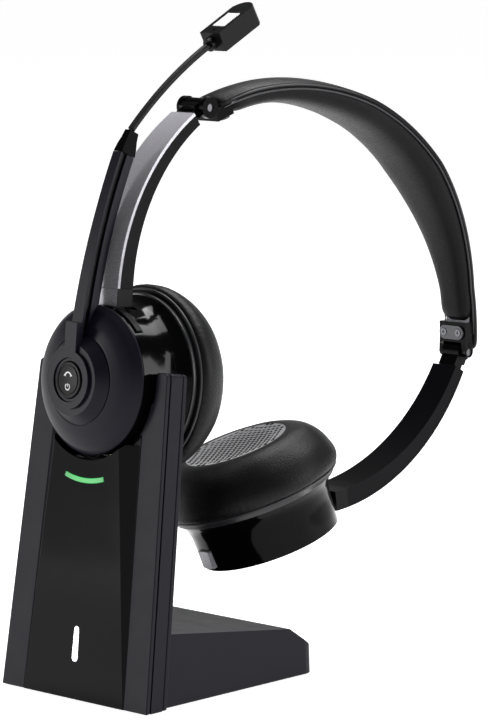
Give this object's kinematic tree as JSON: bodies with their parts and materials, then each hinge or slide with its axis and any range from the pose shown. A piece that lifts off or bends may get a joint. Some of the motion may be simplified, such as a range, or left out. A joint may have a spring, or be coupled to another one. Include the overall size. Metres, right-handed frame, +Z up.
{
  "type": "office headset on charging stand",
  "caption": "Over-the-head wireless headset with two round ear cups and a microphone boom, parked on a weighted desk charging stand.",
  "frame": {"origin": "middle of the underside of the rubber rest pad, on the desk", "axes": "+X to the stand's right seen from the front, +Y to its back, +Z up"},
  "size_m": [0.08, 0.2133, 0.249],
  "materials": {
    "stand_matte": "fine-grained matt moulding",
    "base_black": "matt moulding",
    "pad_rubber": "rubber",
    "steel": "bare steel",
    "circuit": "solder-masked board",
    "gold": "gold-plated contacts",
    "panel_gloss": "piano black",
    "status_light": "lit green light pipe",
    "power_light": "lit white light pipe",
    "inlet_metal": "plated sheet metal",
    "soft_touch": "soft-touch lacquer",
    "gloss_black": "gloss black moulding",
    "plate_dark": "matt moulding",
    "leatherette": "fine-grained leatherette",
    "satin_black": "satin moulding",
    "neck_rubber": "rubber sleeve",
    "mic_white": "white inlay",
    "arm_silver": "fine metallic lacquer",
    "hinge_grey": "dark metal plate"
  },
  "bodies": {
    "stand": {"front_cover": "stand_matte", "upright_shell": "stand_matte", "back_cover": "stand_matte", "front_panel": "panel_gloss", "foot_shell": "stand_matte", "base_cover": "base_black", "rest_pad": "pad_rubber", "ballast": "steel", "dock_board": "circuit", "dock_liner": "pad_rubber", "dock_pins": "gold", "status_lens": "status_light", "power_lens": "power_light", "usb_inlet": "inlet_metal", "stand_screws": "steel"},
    "talk_cup": {"talk_disc": "soft_touch", "talk_shell": "gloss_black", "talk_plate": "plate_dark", "talk_cushion": "leatherette", "talk_driver": "inlet_metal", "talk_board": "circuit", "battery": "inlet_metal", "charge_contacts": "gold", "talk_pin": "steel"},
    "call_button": {"call_button": "satin_black"},
    "volume_rocker": {"volume_rocker": "arm_silver"},
    "boom": {"boom_arm": "soft_touch", "boom_channel": "gloss_black", "boom_cover": "soft_touch", "boom_tip": "satin_black"},
    "mic": {"gooseneck": "neck_rubber", "mic_housing": "satin_black", "mic_window": "mic_white", "mic_capsule": "inlet_metal"},
    "talk_link": {"talk_link": "satin_black"},
    "arm_1": {"arm_1_end": "arm_silver", "arm_1_shell": "satin_black", "arm_1_cover": "arm_silver"},
    "leaf_1": {"hinge_1_leaf": "satin_black", "arm_1_strip": "steel"},
    "band": {"band_core": "steel", "band_cover": "leatherette", "band_pad": "leatherette", "band_end_1": "satin_black", "band_end_2": "satin_black", "hinge_pins": "steel", "hinge_plates": "hinge_grey", "hinge_screws": "steel"},
    "leaf_2": {"hinge_2_leaf": "satin_black", "arm_2_strip": "steel"},
    "arm_2": {"arm_2_shell": "satin_black", "arm_2_cover": "satin_black", "arm_2_end": "satin_black"},
    "listen_link": {"listen_link": "satin_black"},
    "listen_cup": {"listen_shell": "gloss_black", "listen_plate": "plate_dark", "listen_cushion": "leatherette", "listen_driver": "inlet_metal", "listen_pin": "steel"},
    "listen_button": {"listen_button": "arm_silver"}
  },
  "joints": [
    {"name": "headset_lift", "type": "slide", "parent": "stand", "child": "talk_cup", "axis": [0, 0.1236, 0.9923], "range_m": [0, 0.06]},
    {"name": "call_button_press", "type": "slide", "parent": "talk_cup", "child": "call_button", "axis": [0, 0.9923, -0.1236], "range_m": [0, 0.0006], "stiffness_N_per_m": 1200, "springref_m": -0.0004},
    {"name": "volume_rock", "type": "hinge", "parent": "talk_cup", "child": "volume_rocker", "pos_m": [0.01391, -0.02597, 0.13942], "axis": [0, -0.9923, 0.1236], "range_deg": [-1.5, 1.5], "stiffness_Nm_per_rad": 0.02},
    {"name": "boom_swing", "type": "hinge", "parent": "talk_cup", "child": "boom", "pos_m": [0, -0.0324, 0.1169], "axis": [0, -0.9923, 0.1236], "range_deg": [-105, 105]},
    {"name": "gooseneck_bend", "type": "hinge", "parent": "boom", "child": "mic", "pos_m": [0, -0.0095, 0.2063], "axis": [1, 0, 0], "range_deg": [-8, 25]},
    {"name": "talk_tilt", "type": "hinge", "parent": "talk_cup", "child": "talk_link", "pos_m": [0, -0.02347, 0.13846], "axis": [1, 0, 0], "range_deg": [-8, 1.5]},
    {"name": "talk_swivel", "type": "hinge", "parent": "talk_link", "child": "arm_1", "pos_m": [0, -0.02347, 0.13846], "axis": [0, 0.1236, 0.9923], "range_deg": [-10, 10]},
    {"name": "arm_1_extend", "type": "hinge", "parent": "arm_1", "child": "leaf_1", "pos_m": [0, 0.05811, 0.13969], "axis": [1, 0, 0], "range_deg": [-10, 0]},
    {"name": "fold_1", "type": "hinge", "parent": "leaf_1", "child": "band", "pos_m": [0, 0.02367, 0.21189], "axis": [-1, 0, 0], "range_deg": [-7, 1]},
    {"name": "fold_2", "type": "hinge", "parent": "band", "child": "leaf_2", "pos_m": [0, 0.15954, 0.10393], "axis": [-1, 0, 0], "range_deg": [-3, 0]},
    {"name": "arm_2_extend", "type": "hinge", "parent": "leaf_2", "child": "arm_2", "pos_m": [0, 0.0807, 0.1448], "axis": [-1, 0, 0], "range_deg": [0, 6]},
    {"name": "listen_swivel", "type": "hinge", "parent": "arm_2", "child": "listen_link", "pos_m": [0, 0.05131, 0.05256], "axis": [0, 0.9954, 0.0958], "range_deg": [-4, 14]},
    {"name": "listen_tilt", "type": "hinge", "parent": "listen_link", "child": "listen_cup", "pos_m": [0, 0.0737, 0.05471], "axis": [-0.9877, 0.015, -0.1557], "range_deg": [-2, 4]},
    {"name": "listen_button_press", "type": "slide", "parent": "listen_cup", "child": "listen_button", "axis": [0.1949, 0.9344, 0.2982], "range_m": [0, 0.0006], "stiffness_N_per_m": 1200, "springref_m": -0.0004}
  ]
}
